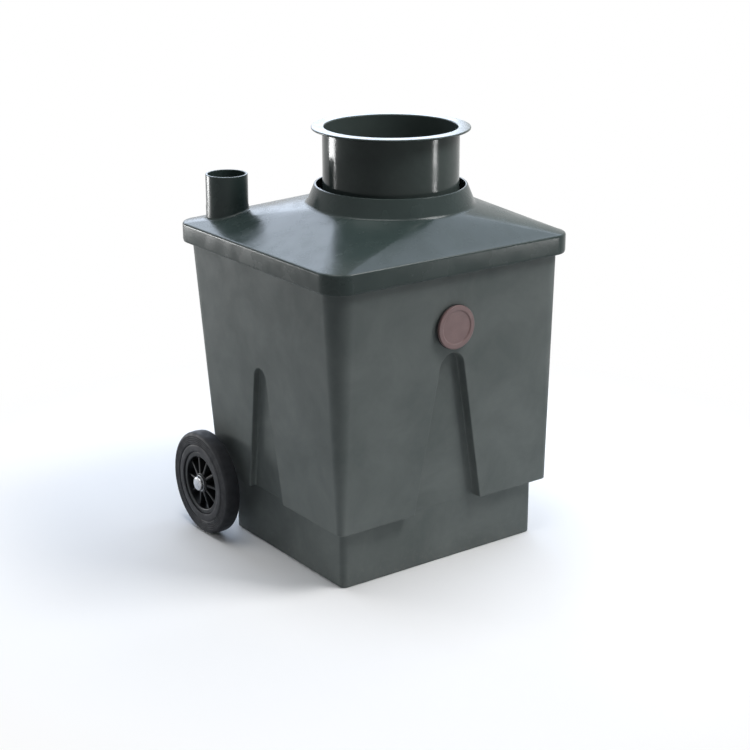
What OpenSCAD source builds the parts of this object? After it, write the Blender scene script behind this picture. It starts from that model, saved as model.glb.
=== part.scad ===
// Wheeled container of a dry composting toilet: a tapered tank on a plinth, a
// sloping lid with a collar and a vent stub, a flanged neck tube that slides in
// the collar, a round plug high on the front, and two rear wheels on one axle.
// Millimetres. +Z is up, the plug faces -Y and the floor is z = 0.

/* [Tank] */
// Width of the tank's wall at the rim
tank_w = 514; // [490:1:540]
// Depth of the tank's wall at the rim
tank_d = 496; // [480:1:520]
// Height of the rim's top face above the floor
tank_h = 582; // [540:1:640]
// Thickness of the moulded wall
tank_wall = 4.5; // [3.5:0.1:6]
// Corner radius of the wall at the rim
tank_corner_r = 42; // [30:1:55]
// Thickness of the rim's lip
rim_t = 4; // [3:0.5:6]
// How far each side leans in from the rim to the ledge
side_lean = 17; // [10:1:22]
// How far the front leans in from the rim to the ledge
front_lean = 12; // [6:1:18]
// How far the back leans in from the rim to the ledge
back_lean = 65; // [50:1:72]
// Corner radius at the ledge and down the plinth
ledge_corner_r = 12; // [8:1:18]
// Ledge width on each side
side_step = 19; // [16:0.5:24]
// Ledge width at the front
front_step = 20.5; // [16:0.5:24]
// Ledge width at the back, which covers the axle
back_step = 38; // [34:1:44]

/* [Recesses] */
// Half width of the front recess at the ledge
front_recess_foot = 76; // [60:1:90]
// Radius of the front recess's rounded top
front_recess_r = 27; // [20:1:32]
// Distance between the front recess's top and the plug's rim
front_recess_gap = 9.8; // [5:0.2:60]
// Depth of the front recess at the ledge
front_recess_depth = 19.5; // [12:0.5:20]
// Half width of a side recess at the ledge
side_recess_foot = 56; // [45:1:70]
// Radius of a side recess's rounded top
side_recess_r = 19; // [14:1:26]
// Height of a side recess above the ledge
side_recess_h = 250; // [200:1:280]
// Depth of a side recess at the ledge
side_recess_depth = 13; // [8:0.5:16]
// Depth of the back recess
back_recess_depth = 12; // [8:0.5:16]
// How far the side recesses sit behind the tank's middle
side_recess_y = 4; // [-10:1:20]

/* [Lid] */
// How far the skirt's outside stands out from the tank's wall
lid_overhang = 12; // [10:0.5:16]
// Thickness of the lid's wall
lid_wall = 4.5; // [3.5:0.1:5.5]
// Corner radius of the skirt
lid_corner_r = 42; // [30:1:55]
// How far the skirt hangs below the tank's rim
skirt_drop = 26; // [18:1:36]
// Height of the lid's edge above its seat on the seal
lid_seat_t = 7; // [6:0.5:10]
// Rounding of the lid's top edge
lid_edge_r = 5; // [3:0.5:6]
// Width of the flat seat inside the skirt
lid_seat_w = 14; // [12:0.5:20]
// Rise of the roof from its edge to the collar
roof_rise = 47; // [35:1:60]
// Thickness of the seal between lid and tank
lid_seal_t = 4; // [3:0.5:6]
// Side clearance between the rim's lip and the skirt
lid_gap = 2; // [1:0.5:3]

/* [Collar] */
// Gap between the neck tube and the collar's top
collar_gap = 11.5; // [8:0.5:16]
// How far the collar spreads from its top to its foot
collar_flare = 14.5; // [10:0.5:20]
// Height of the collar
collar_h = 35; // [25:1:50]
// Thickness of the collar's wall
collar_wall = 4; // [3:0.5:5]
// Offset of the neck from the lid's middle, to the right and to the front alike
neck_offset = 25; // [10:1:35]

/* [Neck] */
// Outer diameter of the neck tube
neck_d = 250; // [240:1:252]
// Thickness of the neck tube's wall
neck_wall = 3.5; // [2.5:0.5:5]
// Length of the neck tube with its flange
neck_len = 220; // [180:1:230]
// Width of the neck's flange
neck_flange_w = 20; // [16:1:30]
// Thickness of the neck's flange
neck_flange_t = 4; // [3:0.5:6]
// Height of the flange's top above the collar
neck_reach = 105; // [60:1:130]
// Clearance round the neck tube in its seal
neck_fit = 0.06; // [0.02:0.01:0.1]
// Width of the throat's gap round the neck tube
throat_gap = 3; // [2:0.5:6]
// Height of the neck seal
neck_seal_t = 8; // [5:0.5:10]

/* [Vent stub] */
// Outer diameter of the vent stub
stub_d = 78.5; // [70:0.5:90]
// Thickness of the vent stub's wall
stub_wall = 4.4; // [3:0.1:5.5]
// Height of the vent stub's top above the lid's edge
stub_h = 91; // [70:1:120]
// Distance of the stub's middle from the lid's left and back edges
stub_inset = 73; // [70:1:80]
// Height of the stub's thicker foot above the lid's edge
stub_foot_h = 32; // [28:1:45]
// How far the foot stands out from the stub
stub_foot_step = 0.6; // [0.4:0.1:2]

/* [Plug] */
// Diameter of the plug's cap
plug_d = 80; // [76:1:90]
// Diameter of the hole for the plug
plug_hole_d = 70; // [60:1:72]
// Distance of the plug's middle below the rim
plug_drop = 123; // [95:1:125]
// Thickness of the cap
plug_cap_t = 5; // [4:0.5:7]
// Width of the cap's raised ring
plug_ring_w = 8.5; // [5:0.5:11]
// Thickness of the grommet's outer flange
grommet_flange_t = 3; // [2:0.5:4]
// Thickness of the grommet's sleeve
grommet_wall = 3.2; // [2:0.1:4]

/* [Strainer] */
// Thickness of the false floor
strainer_t = 5; // [4:0.5:8]
// Diameter of its drain holes
strainer_hole_d = 12; // [8:1:16]
// Distance between its drain holes
strainer_pitch = 40; // [36:1:48]
// Outer diameter of its pillars
pillar_d = 28; // [20:1:36]
// Half distance between the pillars
pillar_spread = 110; // [90:1:125]
// Gap between the strainer and what it rests on
strainer_rest_gap = 0.3; // [0.2:0.1:0.6]

/* [Wheels] */
// Outer diameter of the tyres
wheel_d = 200; // [190:1:206]
// Width of the tyres
wheel_w = 34; // [30:1:44]
// Gap between the tank's side and the tyre
wheel_gap = 17; // [12:1:25]
// Radius of the tyre's shoulders
shoulder_r = 8; // [4:0.5:12]
// Outer radius of the rim's visible lip
rim_lip_r = 61; // [56:1:66]
// Radius of the rim's inside
rim_inner_r = 52; // [46:1:54]
// Outer radius of the hub
hub_r = 19; // [17:0.5:24]
// Number of spokes
spoke_count = 10; // [8:1:12]
// Thickness of a spoke
spoke_t = 3.6; // [3:0.2:6]

/* [Axle] */
// Diameter of the axle
axle_d = 20; // [16:1:22]
// Clearance round the axle in the wheel bushes and clamps
axle_fit = 0.05; // [0.02:0.01:0.1]
// Headroom between the axle and the ledge
axle_headroom = 2.2; // [1.6:0.2:4]
// Wall of the wheel bushes
bush_wall = 3; // [2:0.5:4]
// Distance of a clamp's middle from the tank's middle
clamp_x = 150; // [120:1:165]
// Width of an axle clamp
clamp_w = 50; // [40:1:60]
// Wall of a clamp round the axle
clamp_wall = 7; // [5:0.5:9]
// Diameter of the clamp screws
screw_d = 6; // [5:0.5:8]

/* [Hidden] */

$fn = 96;
loft_fn = 32;
arc_steps = 16;
half_turn = 180;
overrun = 2;
skin = 0.4;

// Levels above the floor
axle_z = wheel_d / 2;
ledge_z = axle_z + axle_d / 2 + axle_headroom;
seat_z = tank_h + lid_seal_t;
lid_edge_z = seat_z + lid_seat_t;
skirt_z = tank_h - skirt_drop;
collar_z = lid_edge_z + roof_rise;
collar_top_z = collar_z + collar_h;
neck_top_z = collar_top_z + neck_reach;
plug_z = tank_h - plug_drop;
front_recess_h = plug_z - plug_d / 2 - front_recess_gap - ledge_z;
shelf_z = ledge_z + tank_wall;

// Plan of the tank: half widths, and distances to the front and the back
ledge_half_w = tank_w / 2 - side_lean;
ledge_front = tank_d / 2 - front_lean;
ledge_back = tank_d / 2 - back_lean;
plinth_half_w = ledge_half_w - side_step;
plinth_front = ledge_front - front_step;
plinth_back = ledge_back - back_step;
wall_h = tank_h - ledge_z;
function up_share(z) = (z - ledge_z) / wall_h;
function side_at(z) = ledge_half_w + side_lean * up_share(z);
function front_at(z) = ledge_front + front_lean * up_share(z);
front_tilt = atan(front_lean / wall_h);
side_tilt = atan(side_lean / wall_h);
back_tilt = atan(back_lean / wall_h);

// Lid and neck
lid_w = tank_w + 2 * lid_overhang;
lid_d = tank_d + 2 * lid_overhang;
rim_lip = lid_overhang - lid_wall - lid_gap;
neck_x = neck_offset;
neck_y = -neck_offset;
throat_r = neck_d / 2 + throat_gap;
collar_top_r = neck_d / 2 + collar_gap + collar_wall;
collar_foot_r = collar_top_r + collar_flare;
collar_draft = collar_flare / collar_h;
collar_lip = collar_wall / 4;
lip_gap = 0.5;
neck_seal_r = collar_foot_r - collar_wall - collar_draft * neck_seal_t - lip_gap;
stub_x = -(lid_w / 2 - stub_inset);
stub_y = lid_d / 2 - stub_inset;
edge_mid_share = 0.3;

// Plug, its grommet and the flat pad round its hole
pad_lift = 1;
pad_y = front_at(plug_z + plug_d / 2) + pad_lift;
pad_back_y = front_at(plug_z - plug_d / 2) - tank_wall - pad_lift;
grommet_fit = 0.05;
grommet_r = plug_hole_d / 2 - grommet_fit;
spigot_r = grommet_r - grommet_wall - grommet_fit;
spigot_wall = 3;
spigot_len = 18;
grommet_lip = 3;
cap_dish = 1.5;
grommet_margin = 0.8;

// Strainer
strainer_gap = 2;
pillar_wall = 3;
strainer_margin = 18;
strainer_z = shelf_z + strainer_rest_gap;
foot_z = tank_wall + strainer_rest_gap;

// Wheels, given for the right-hand side and mirrored to the left
axle_clear = 2.2;
axle_y = plinth_back + axle_d / 2 + axle_clear;
wheel_x = side_at(wheel_d) + wheel_gap + wheel_w / 2;
hub_width_share = 0.78;
rim_width_share = 0.76;
spoke_width_share = 0.4;
hub_w = wheel_w * hub_width_share;
rim_w = wheel_w * rim_width_share;
spoke_w = wheel_w * spoke_width_share;
rim_flange_t = 3;
rim_base_t = 3.5;
tyre_seat_r = rim_inner_r + rim_base_t;
groove_r = 76;
groove_half_w = 1.6;
groove_depth = 1.2;
bush_r = axle_d / 2 + bush_wall;
bush_flange = 0.4;
side_play = 0.3;
washer_t = 1.6;
washer_r = 15;
cap_r = 14;
cap_reach = 9;
cap_wall = 3;
cap_chamfer = 3;
hub_inner_x = wheel_x - hub_w / 2 - bush_flange;
hub_outer_x = wheel_x + hub_w / 2 + bush_flange;
washer_x = hub_outer_x + side_play;
cap_x = washer_x + washer_t;
axle_half_len = cap_x + cap_reach - cap_wall;

// Clamps, screws and inserts
clamp_back_y = axle_y + axle_d / 2 + clamp_wall;
clamp_tail = 30;
clamp_z = axle_z - axle_d / 2 - clamp_tail;
screw_z = clamp_z + clamp_tail / 2 - clamp_wall / 2;
screw_spread_share = 0.28;
screw_spread = clamp_w * screw_spread_share;
screw_fit = 0.1;
screw_head_r = screw_d;
screw_head_t = 4;
socket_r = screw_d / 3;
socket_depth = 2;
insert_r = 5.5;
insert_len = 13;
boss_r = 10;
boss_len = 18;
spacer_r = axle_d / 2 + min(axle_headroom, axle_clear) - side_play;

// A rectangle with round corners, set by its half width, front and back
module plan(half_w, front, back, r) {
    translate([0, (back - front) / 2]) {
        square([2 * half_w - 2 * r, front + back], center = true);
        square([2 * half_w, front + back - 2 * r], center = true);
        for (x = [-1, 1], y = [-1, 1])
            translate([x * (half_w - r), y * ((front + back) / 2 - r)]) circle(r);
    }
}

// A prism on such a plan, from one level to another
module block(half_w, front, back, r, low, high) {
    translate([0, 0, low]) linear_extrude(high - low) plan(half_w, front, back, r);
}

// A thin slab of such a plan, used as an end of a loft
module slab(half_w, front, back, r, z) {
    block(half_w, front, back, r, z, z + skin, $fn = loft_fn);
}

// A recess seen from outside: straight sides that touch a round top
module recess_outline(foot, r, h, grow) {
    top_r = r + grow;
    half = foot + grow;
    centre_z = h - r;
    reach = norm([half, centre_z]);
    lean = atan2(centre_z, -half) - asin(top_r / reach);
    run = sqrt(reach * reach - top_r * top_r);
    touch = [half + run * cos(lean), run * sin(lean)];
    start = atan2(touch[1] - centre_z, touch[0]);
    arc = [for (step = [0:arc_steps]) let (turn = start + step * (half_turn - 2 * start) / arc_steps)
        [top_r * cos(turn), centre_z + top_r * sin(turn)]];
    polygon(concat([[-half, -overrun], [half, -overrun], [half, 0]], arc, [[-half, 0]]));
}

// The same outline as a bar that stands on the ledge, leans with its wall and runs outwards along -Y
module recess_bar(foot, r, h, wall, depth, lean, grow) {
    translate([0, -wall, ledge_z]) rotate([lean, 0, 0]) translate([0, depth + grow, 0]) rotate([90, 0, 0])
        linear_extrude(tank_d) recess_outline(foot, r, h, grow);
}

// The four recesses, cut bare or grown by the wall that lines them
module recesses(grow) {
    recess_bar(front_recess_foot, front_recess_r, front_recess_h,
        ledge_front, front_recess_depth, front_tilt, grow);
    for (side = [-1, 1])
        translate([0, side_recess_y, 0]) rotate([0, 0, side * 90])
            recess_bar(side_recess_foot, side_recess_r, side_recess_h,
                ledge_half_w, side_recess_depth, side_tilt, grow);
    rotate([0, 0, half_turn])
        recess_bar(side_recess_foot, side_recess_r, side_recess_h,
            ledge_back, back_recess_depth, back_tilt, grow);
}

// Places of the four clamp screws
module at_screws() {
    for (side = [-1, 1], x = [-1, 1])
        translate([side * clamp_x + x * screw_spread, 0, screw_z]) rotate([-90, 0, 0]) children();
}

module tank_body() {
    hull() {
        slab(ledge_half_w, ledge_front, ledge_back, ledge_corner_r, ledge_z);
        slab(tank_w / 2, tank_d / 2, tank_d / 2, tank_corner_r, tank_h - skin);
    }
    block(plinth_half_w, plinth_front, plinth_back, ledge_corner_r, 0, shelf_z);
    block(tank_w / 2 + rim_lip, tank_d / 2 + rim_lip, tank_d / 2 + rim_lip,
        tank_corner_r + rim_lip, tank_h - rim_t, tank_h);
    translate([0, -pad_y, plug_z]) rotate([-90, 0, 0])
        cylinder(h = tank_wall, r = plug_d / 2);
}

module tank_cavity() {
    inner_r = tank_corner_r - tank_wall;
    difference() {
        union() {
            hull() {
                slab(ledge_half_w - tank_wall, ledge_front - tank_wall, ledge_back - tank_wall,
                    ledge_corner_r - tank_wall, shelf_z);
                slab(tank_w / 2 - tank_wall, tank_d / 2 - tank_wall, tank_d / 2 - tank_wall,
                    inner_r, tank_h + overrun);
            }
            block(plinth_half_w - tank_wall, plinth_front - tank_wall, plinth_back - tank_wall,
                ledge_corner_r - tank_wall, tank_wall, shelf_z + overrun);
        }
        recesses(tank_wall);
        translate([0, -pad_back_y, plug_z]) rotate([90, 0, 0])
            cylinder(h = tank_wall + plug_d, r = plug_d / 2);
        at_screws() translate([0, 0, plinth_back - boss_len]) cylinder(h = boss_len, r = boss_r);
    }
}

module tank() {
    color([0.27, 0.30, 0.29]) difference() {
        tank_body();
        tank_cavity();
        recesses(0);
        translate([0, 0, plug_z]) rotate([90, 0, 0])
            translate([0, 0, pad_back_y - overrun])
                cylinder(h = pad_y - pad_back_y + 2 * overrun, r = plug_hole_d / 2);
        at_screws() translate([0, 0, plinth_back - insert_len])
            cylinder(h = insert_len + overrun, r = insert_r);
    }
}

module strainer_plate() {
    edge = tank_wall + strainer_gap;
    half_w = ledge_half_w - edge;
    front = ledge_front - edge;
    back = ledge_back - edge;
    columns = floor((half_w - strainer_margin) / strainer_pitch);
    rows = floor(((front + back) / 2 - strainer_margin) / strainer_pitch);
    color([0.12, 0.13, 0.12]) difference() {
        block(half_w, front, back, ledge_corner_r - tank_wall, strainer_z, strainer_z + strainer_t);
        recesses(edge);
        translate([0, (back - front) / 2, strainer_z - overrun])
            for (column = [-columns:columns], row = [-rows:rows])
                translate([column * strainer_pitch, row * strainer_pitch, 0])
                    cylinder(h = strainer_t + 2 * overrun, d = strainer_hole_d, $fn = 24);
    }
}

module strainer_pillars() {
    middle_y = (plinth_back - plinth_front) / 2;
    color([0.12, 0.13, 0.12]) for (x = [-1, 1], y = [-1, 1])
        translate([x * pillar_spread, middle_y + y * pillar_spread, foot_z]) difference() {
            cylinder(h = strainer_z - foot_z, d = pillar_d);
            translate([0, 0, -overrun])
                cylinder(h = strainer_z - foot_z + 2 * overrun, d = pillar_d - 2 * pillar_wall);
        }
}

// The plug's round pieces are turned about the hole's axis, with the pad's face at zero
module at_plug() {
    translate([0, -pad_y, plug_z]) rotate([90, 0, 0]) children();
}

module plug_cap() {
    cap_r_out = plug_d / 2;
    back = grommet_flange_t;
    front = back + plug_cap_t;
    dish_r = cap_r_out - plug_ring_w;
    color([0.55, 0.44, 0.44]) at_plug() rotate_extrude() polygon([
        [0, back], [spigot_r - spigot_wall, back], [spigot_r - spigot_wall, front - spigot_len],
        [spigot_r, front - spigot_len], [spigot_r, back], [cap_r_out, back],
        [cap_r_out, front - cap_dish], [cap_r_out - cap_dish, front],
        [dish_r, front], [dish_r - cap_dish, front - cap_dish], [0, front - cap_dish]]);
}

module plug_grommet() {
    flange_r = plug_d / 2 + grommet_margin;
    bore_r = grommet_r - grommet_wall;
    depth = pad_y - pad_back_y;
    color([0.05, 0.05, 0.05]) at_plug() rotate_extrude() polygon([
        [bore_r, grommet_flange_t], [flange_r, grommet_flange_t], [flange_r, 0], [grommet_r, 0],
        [grommet_r, -depth], [grommet_r + grommet_lip, -depth],
        [grommet_r, -depth - grommet_lip], [bore_r, -depth - grommet_lip]]);
}

// Outside of the lid's roof, from its rounded edge up to the collar
module roof_outside() {
    mid = lid_edge_r * edge_mid_share;
    hull() {
        slab(lid_w / 2, lid_d / 2, lid_d / 2, lid_corner_r, lid_edge_z - lid_edge_r);
        slab(lid_w / 2 - mid, lid_d / 2 - mid, lid_d / 2 - mid, lid_corner_r - mid, lid_edge_z - mid);
        slab(lid_w / 2 - lid_edge_r, lid_d / 2 - lid_edge_r, lid_d / 2 - lid_edge_r,
            lid_corner_r - lid_edge_r, lid_edge_z - skin);
        translate([neck_x, neck_y, collar_z - skin])
            cylinder(h = skin, r = collar_foot_r, $fn = 2 * loft_fn);
    }
}

module roof_inside() {
    inset = lid_wall + lid_seat_w;
    hull() {
        slab(lid_w / 2 - inset, lid_d / 2 - inset, lid_d / 2 - inset, lid_corner_r - lid_wall,
            seat_z - skin);
        translate([neck_x, neck_y, collar_z - lid_wall])
            cylinder(h = skin, r = collar_foot_r - lid_wall, $fn = 2 * loft_fn);
    }
}

module lid() {
    color([0.33, 0.38, 0.42]) {
        difference() {
            union() {
                block(lid_w / 2, lid_d / 2, lid_d / 2, lid_corner_r, skirt_z, lid_edge_z - lid_edge_r);
                roof_outside();
            }
            block(lid_w / 2 - lid_wall, lid_d / 2 - lid_wall, lid_d / 2 - lid_wall,
                lid_corner_r - lid_wall, skirt_z - overrun, seat_z);
            roof_inside();
            translate([neck_x, neck_y, seat_z]) cylinder(h = collar_z, r = throat_r);
            translate([stub_x, stub_y, seat_z]) cylinder(h = collar_z, d = stub_d - stub_wall);
        }
        translate([neck_x, neck_y, collar_z]) rotate_extrude() polygon([
            [collar_foot_r - collar_wall, -lid_wall / 2], [collar_foot_r, -lid_wall / 2],
            [collar_foot_r, 0], [collar_top_r, collar_h - collar_lip],
            [collar_top_r - collar_lip, collar_h],
            [collar_top_r - collar_wall + collar_lip, collar_h],
            [collar_top_r - collar_wall, collar_h - collar_lip], [collar_foot_r - collar_wall, 0]]);
        translate([stub_x, stub_y, lid_edge_z]) difference() {
            union() {
                cylinder(h = stub_h, d = stub_d);
                cylinder(h = stub_foot_h, r = stub_d / 2 + stub_foot_step);
            }
            translate([0, 0, -overrun]) cylinder(h = stub_h + 2 * overrun, d = stub_d - 2 * stub_wall);
        }
    }
}

module lid_seal() {
    outer = lid_wall + lid_gap;
    inner = lid_wall + lid_seat_w - lid_gap;
    color([0.05, 0.05, 0.05]) difference() {
        block(lid_w / 2 - outer, lid_d / 2 - outer, lid_d / 2 - outer, lid_corner_r - lid_wall,
            tank_h, seat_z);
        block(lid_w / 2 - inner, lid_d / 2 - inner, lid_d / 2 - inner, lid_corner_r - lid_wall,
            tank_h - overrun, seat_z + overrun);
    }
}

module neck_tube() {
    outer = neck_d / 2;
    bore = outer - neck_wall;
    flange = outer + neck_flange_w;
    bend = neck_wall / 2;
    color([0.17, 0.20, 0.19]) translate([neck_x, neck_y, neck_top_z]) rotate_extrude() polygon([
        [bore, -neck_len], [outer, -neck_len], [outer, -neck_flange_t - bend],
        [outer + bend, -neck_flange_t], [flange, -neck_flange_t], [flange, -bend / 2],
        [flange - bend / 2, 0], [bore + bend / 2, 0], [bore, -bend / 2]]);
}

module neck_seal() {
    bore = neck_d / 2 + neck_fit;
    color([0.05, 0.05, 0.05]) translate([neck_x, neck_y, collar_z]) difference() {
        cylinder(h = neck_seal_t, r = neck_seal_r);
        translate([0, 0, -overrun]) cylinder(h = neck_seal_t + 2 * overrun, r = bore);
    }
}

// Turns a shape that stands on z = 0 so that it lies on the axle's line, starting at x
module on_axle(x) {
    translate([x, axle_y, axle_z]) rotate([0, 90, 0]) children();
}

// A ring on the axle's line
module ring_on_axle(x, length, outer, bore) {
    on_axle(x) difference() {
        cylinder(h = length, r = outer);
        translate([0, 0, -overrun]) cylinder(h = length + 2 * overrun, r = bore);
    }
}

module axle() {
    color([0.62, 0.63, 0.65]) on_axle(-axle_half_len) cylinder(h = 2 * axle_half_len, d = axle_d);
}

module axle_clamp() {
    depth = clamp_back_y - plinth_back;
    color([0.10, 0.10, 0.10]) difference() {
        translate([clamp_x - clamp_w / 2, plinth_back, clamp_z]) cube([clamp_w, depth, ledge_z - clamp_z]);
        on_axle(clamp_x - clamp_w) cylinder(h = 2 * clamp_w, r = axle_d / 2 + axle_fit);
        at_screws() translate([0, 0, plinth_back - overrun])
            cylinder(h = depth + 2 * overrun, r = screw_d / 2 + screw_fit);
    }
}

module axle_clamp_right() {
    axle_clamp();
}

module axle_clamp_left() {
    mirror([1, 0, 0]) axle_clamp();
}

module clamp_screws() {
    start = plinth_back - insert_len + screw_fit;
    color([0.70, 0.71, 0.73]) at_screws() difference() {
        union() {
            translate([0, 0, start]) cylinder(h = clamp_back_y - start + screw_fit, d = screw_d);
            translate([0, 0, clamp_back_y]) cylinder(h = screw_head_t, r = screw_head_r);
        }
        translate([0, 0, clamp_back_y + screw_head_t - socket_depth])
            cylinder(h = socket_depth + overrun, r = socket_r, $fn = 6);
    }
}

module screw_inserts() {
    color([0.78, 0.62, 0.30]) at_screws() translate([0, 0, plinth_back - insert_len]) difference() {
        cylinder(h = insert_len, r = insert_r);
        translate([0, 0, -overrun])
            cylinder(h = insert_len + 2 * overrun, r = screw_d / 2 + screw_fit);
    }
}

module axle_spacer() {
    start = clamp_x + clamp_w / 2;
    color([0.10, 0.10, 0.10])
        ring_on_axle(start, hub_inner_x - side_play - start, spacer_r, axle_d / 2 + axle_fit);
}

module axle_spacer_right() {
    axle_spacer();
}

module axle_spacer_left() {
    mirror([1, 0, 0]) axle_spacer();
}

// The rim: a channel that holds the tyre, flat spokes and a hub
module wheel_rim() {
    half = rim_w / 2;
    color([0.09, 0.09, 0.10]) {
        on_axle(wheel_x) rotate_extrude() polygon([
            [rim_inner_r, -half], [rim_lip_r, -half], [rim_lip_r, -half + rim_flange_t],
            [tyre_seat_r, -half + rim_flange_t], [tyre_seat_r, half - rim_flange_t],
            [rim_lip_r, half - rim_flange_t], [rim_lip_r, half], [rim_inner_r, half]]);
        ring_on_axle(wheel_x - hub_w / 2, hub_w, hub_r, bush_r);
        for (spoke = [0:spoke_count - 1])
            on_axle(wheel_x - spoke_w / 2) rotate([0, 0, spoke * 360 / spoke_count])
                translate([(hub_r + bush_r) / 2, -spoke_t / 2, 0])
                    cube([rim_inner_r + rim_base_t / 2 - (hub_r + bush_r) / 2, spoke_t, spoke_w]);
    }
}

module wheel_rim_right() {
    wheel_rim();
}

module wheel_rim_left() {
    mirror([1, 0, 0]) wheel_rim();
}

// The tyre: a solid band with round shoulders and a groove in each side
module tyre() {
    half = wheel_w / 2;
    seat_half = rim_w / 2 - rim_flange_t;
    outer = wheel_d / 2;
    crown = outer - shoulder_r;
    color([0.07, 0.07, 0.08]) on_axle(wheel_x) rotate_extrude() difference() {
        union() {
            translate([tyre_seat_r, -seat_half]) square([rim_lip_r - tyre_seat_r + overrun, 2 * seat_half]);
            translate([rim_lip_r, -half]) square([crown - rim_lip_r, 2 * half]);
            translate([crown - overrun, shoulder_r - half])
                square([shoulder_r + overrun, 2 * (half - shoulder_r)]);
            for (side = [-1, 1]) translate([crown, side * (half - shoulder_r)]) circle(shoulder_r);
        }
        for (side = [-1, 1]) translate([groove_r, side * half])
            polygon([[-groove_half_w, side * overrun], [-groove_half_w, 0], [0, -side * groove_depth],
                [groove_half_w, 0], [groove_half_w, side * overrun]]);
    }
}

module tyre_right() {
    tyre();
}

module tyre_left() {
    mirror([1, 0, 0]) tyre();
}

module hub_bush() {
    color([0.85, 0.85, 0.82])
        ring_on_axle(hub_inner_x, hub_outer_x - hub_inner_x, bush_r, axle_d / 2 + axle_fit);
}

module hub_bush_right() {
    hub_bush();
}

module hub_bush_left() {
    mirror([1, 0, 0]) hub_bush();
}

module washer() {
    color([0.70, 0.71, 0.73]) ring_on_axle(washer_x, washer_t, washer_r, axle_d / 2 + axle_fit);
}

module washer_right() {
    washer();
}

module washer_left() {
    mirror([1, 0, 0]) washer();
}

// A pressed cap with a chamfered nose over the end of the axle
module axle_cap() {
    bore = axle_d / 2 + axle_fit;
    color([0.75, 0.76, 0.78]) on_axle(cap_x) rotate_extrude() polygon([
        [bore, 0], [cap_r, 0], [cap_r, cap_reach - cap_chamfer], [cap_r - cap_chamfer, cap_reach],
        [0, cap_reach], [0, cap_reach - cap_wall], [bore, cap_reach - cap_wall]]);
}

module axle_cap_right() {
    axle_cap();
}

module axle_cap_left() {
    mirror([1, 0, 0]) axle_cap();
}

tank();
strainer_plate();
strainer_pillars();
plug_cap();
plug_grommet();
lid();
lid_seal();
neck_tube();
neck_seal();
axle();
axle_clamp_left();
axle_clamp_right();
clamp_screws();
screw_inserts();
axle_spacer_left();
axle_spacer_right();
wheel_rim_left();
wheel_rim_right();
tyre_left();
tyre_right();
hub_bush_left();
hub_bush_right();
washer_left();
washer_right();
axle_cap_left();
axle_cap_right();
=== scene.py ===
# %% [markdown]
# # Wheeled container of a dry toilet
#
# The real object is a moulded container of about 100 litres: a tapered tank on a
# plinth, a sloping lid with a collar and a vent stub, a flanged neck tube, a round
# plug and two wheels on one axle.
#
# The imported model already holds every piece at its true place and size, so this
# lesson never moves one. It gives each piece a finish, and where moulded plastic
# has rolls and fillets that the plain solid lacks, a new mesh takes its place.

from math import acos, atan2, cos, hypot, pi, radians, sin, tan

import bmesh
import bpy
from mathutils import Matrix, Vector
from mathutils.bvhtree import BVHTree


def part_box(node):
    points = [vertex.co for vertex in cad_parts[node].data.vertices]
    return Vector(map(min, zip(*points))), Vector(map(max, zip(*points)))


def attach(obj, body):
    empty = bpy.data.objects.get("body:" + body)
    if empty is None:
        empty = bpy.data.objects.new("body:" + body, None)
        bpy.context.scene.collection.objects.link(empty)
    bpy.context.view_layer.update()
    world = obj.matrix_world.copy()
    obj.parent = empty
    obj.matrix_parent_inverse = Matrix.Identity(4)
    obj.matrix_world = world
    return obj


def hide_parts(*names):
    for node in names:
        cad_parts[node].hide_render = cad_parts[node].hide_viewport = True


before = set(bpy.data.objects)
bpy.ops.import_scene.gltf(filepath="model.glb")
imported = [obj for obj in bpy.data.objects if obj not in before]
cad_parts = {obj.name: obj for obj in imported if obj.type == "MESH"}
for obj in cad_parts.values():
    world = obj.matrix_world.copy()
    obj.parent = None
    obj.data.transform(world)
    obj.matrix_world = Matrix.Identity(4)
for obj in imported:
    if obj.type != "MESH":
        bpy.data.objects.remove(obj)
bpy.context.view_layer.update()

# %% [markdown]
# ## The camera
#
# The view is from the front left, a little above the lid. The lens is longer than
# normal, so the uprights stay nearly parallel. Its place was worked out from the
# outlines of the lid, the plinth and the wheel.

# %% Camera
AZIMUTH, ELEVATION = radians(-36.16), radians(18.42)

camera = bpy.data.objects.new("camera", bpy.data.cameras.new("camera"))
camera.data.sensor_width = 36
camera.data.lens = 80.857
camera.location = (-1.78749, -2.45610, 1.31440)
camera.rotation_euler = (pi / 2 - ELEVATION, 0, AZIMUTH)
bpy.context.scene.collection.objects.link(camera)
bpy.context.scene.camera = camera
print("camera:", tuple(round(v, 3) for v in camera.location))

# %% [markdown]
# ## The studio
#
# Dark plastic is read by what it reflects. One lamp hangs overhead and one high on
# the right: both come from above, so the walls stay darker under the lid and at
# their rounded corner. A low lamp behind on the left lights the left wall and
# throws the wheel's shadow on it. Two bluish lamps, one behind and one on the
# right, are mirrored in the roof, and a small one near the floor draws the bright
# streak on the neck tube. The world is white for the camera and in reflections,
# and a dim grey-blue as a source of light. The floor is white paper that fades
# into the same white further out, where it takes no more light.

# %% World and floor
def new_material(name):
    """A material and its empty node tree."""
    material = bpy.data.materials.new(name)
    material.use_nodes = True
    tree = material.node_tree
    tree.nodes.clear()
    return material, tree


def node(tree, kind, **settings):
    """Adds a node. Settings that name an input set its value, the others its properties."""
    made = tree.nodes.new("ShaderNode" + kind)
    for key, value in settings.items():
        if key in made.inputs:
            made.inputs[key].default_value = value
        else:
            setattr(made, key, value)
    return made


def join(tree, *chain):
    """Links outputs to inputs: join(tree, a, "Color", b, "Base Color")."""
    for source, output, target, entry in zip(*[iter(chain)] * 4):
        tree.links.new(source.outputs[output], target.inputs[entry])


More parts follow.
